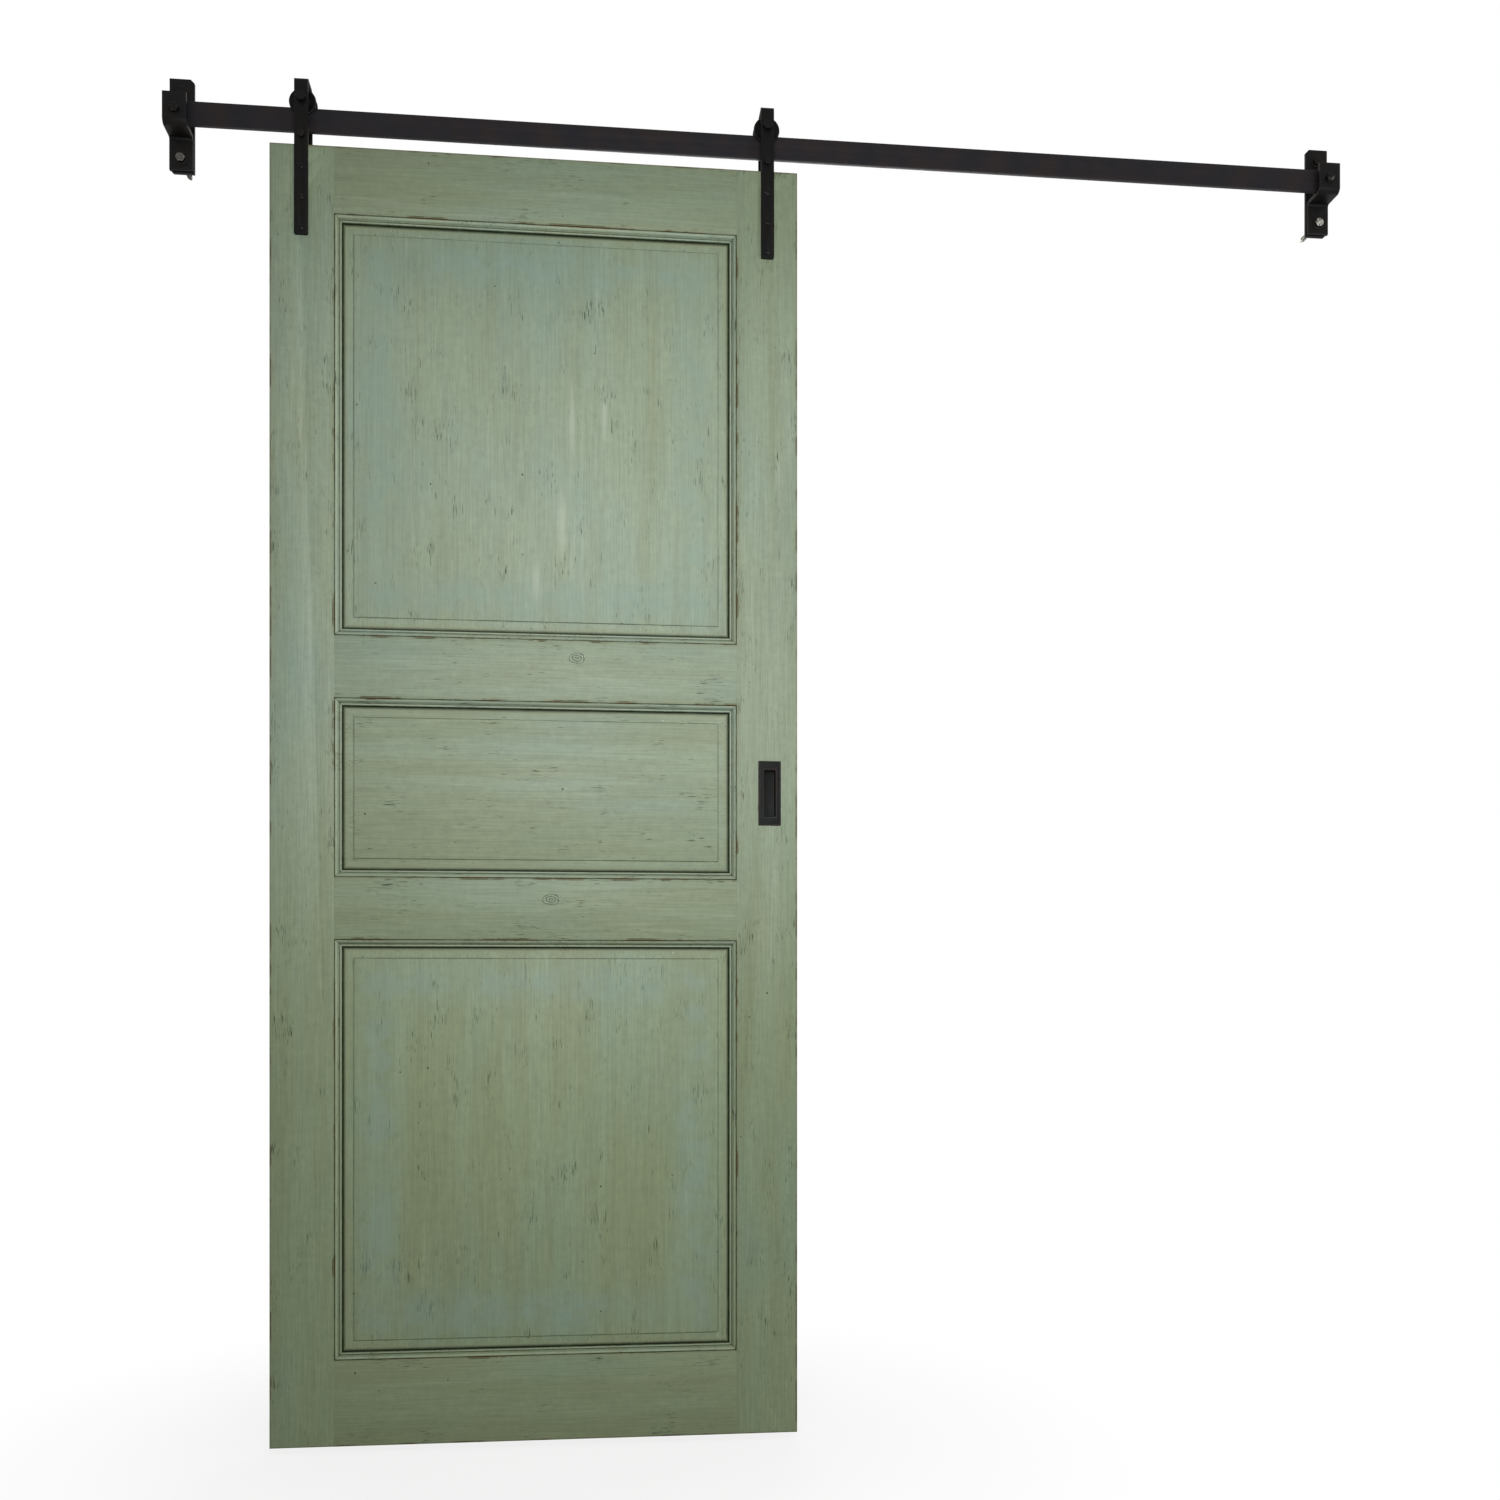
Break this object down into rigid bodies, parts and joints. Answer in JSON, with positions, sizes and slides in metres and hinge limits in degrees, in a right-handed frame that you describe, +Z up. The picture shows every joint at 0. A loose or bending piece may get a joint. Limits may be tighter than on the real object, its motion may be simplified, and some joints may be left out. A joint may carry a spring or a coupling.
{
  "type": "sliding door",
  "caption": "Top-hung sliding door: painted panelled wooden leaf on folded strap hangers with grooved wheels, rolling along a flat steel rail on wall brackets.",
  "frame": {"origin": "centre of the rectangle of wall bolts, in the plane of the wall", "axes": "+X along the rail to the right as seen from the front, +Y into the wall, +Z up"},
  "size_m": [2.01, 0.13, 2.258],
  "materials": {
    "painted_wood": "sage-green paint, rubbed through at the edges and glazed dark brown in the corners",
    "black_steel": "satin black coating",
    "zinc_steel": "zinc plated",
    "bronze": "plain bearing bronze"
  },
  "bodies": {
    "rail_frame": {"rail": "black_steel", "left_wall_plate": "black_steel", "right_wall_plate": "black_steel", "left_bracket_arm": "black_steel", "right_bracket_arm": "black_steel", "upper_wall_bolts": "black_steel", "lower_wall_bolts": "zinc_steel", "wall_washers": "black_steel", "rail_bolts": "black_steel", "rail_spacers": "black_steel", "rail_nuts": "black_steel"},
    "leaf": {"left_stile": "painted_wood", "right_stile": "painted_wood", "top_rail": "painted_wood", "upper_lock_rail": "painted_wood", "lower_lock_rail": "painted_wood", "bottom_rail": "painted_wood", "upper_panel": "painted_wood", "middle_panel": "painted_wood", "lower_panel": "painted_wood", "upper_front_moulding": "painted_wood", "middle_front_moulding": "painted_wood", "lower_front_moulding": "painted_wood", "upper_back_moulding": "painted_wood", "middle_back_moulding": "painted_wood", "lower_back_moulding": "painted_wood", "left_strap": "black_steel", "right_strap": "black_steel", "left_strap_screws": "black_steel", "right_strap_screws": "black_steel", "left_axle_bolt": "black_steel", "right_axle_bolt": "black_steel", "left_axle_sleeves": "black_steel", "right_axle_sleeves": "black_steel", "axle_nuts": "black_steel", "tie_bolts": "black_steel", "tie_sleeves": "black_steel", "tie_nuts": "black_steel", "flush_pull": "black_steel"},
    "left_roller": {"left_wheel": "black_steel", "left_wheel_bush": "bronze"},
    "right_roller": {"right_wheel": "black_steel", "right_wheel_bush": "bronze"}
  },
  "joints": [
    {"name": "door_slide", "type": "slide", "parent": "rail_frame", "child": "leaf", "axis": [1, 0, 0], "range_m": [-0.1715, 0.9695]},
    {"name": "left_wheel_spin", "type": "hinge", "parent": "leaf", "child": "left_roller", "pos_m": [-0.783, -0.0395, 0.0293], "axis": [0, 1, 0], "continuous": true},
    {"name": "right_wheel_spin", "type": "hinge", "parent": "leaf", "child": "right_roller", "pos_m": [-0.015, -0.0395, 0.0293], "axis": [0, 1, 0], "continuous": true}
  ],
  "couplings": [
    {"joint": "left_wheel_spin", "follows": "door_slide", "rad_per_m": 125},
    {"joint": "right_wheel_spin", "follows": "door_slide", "rad_per_m": 125}
  ]
}
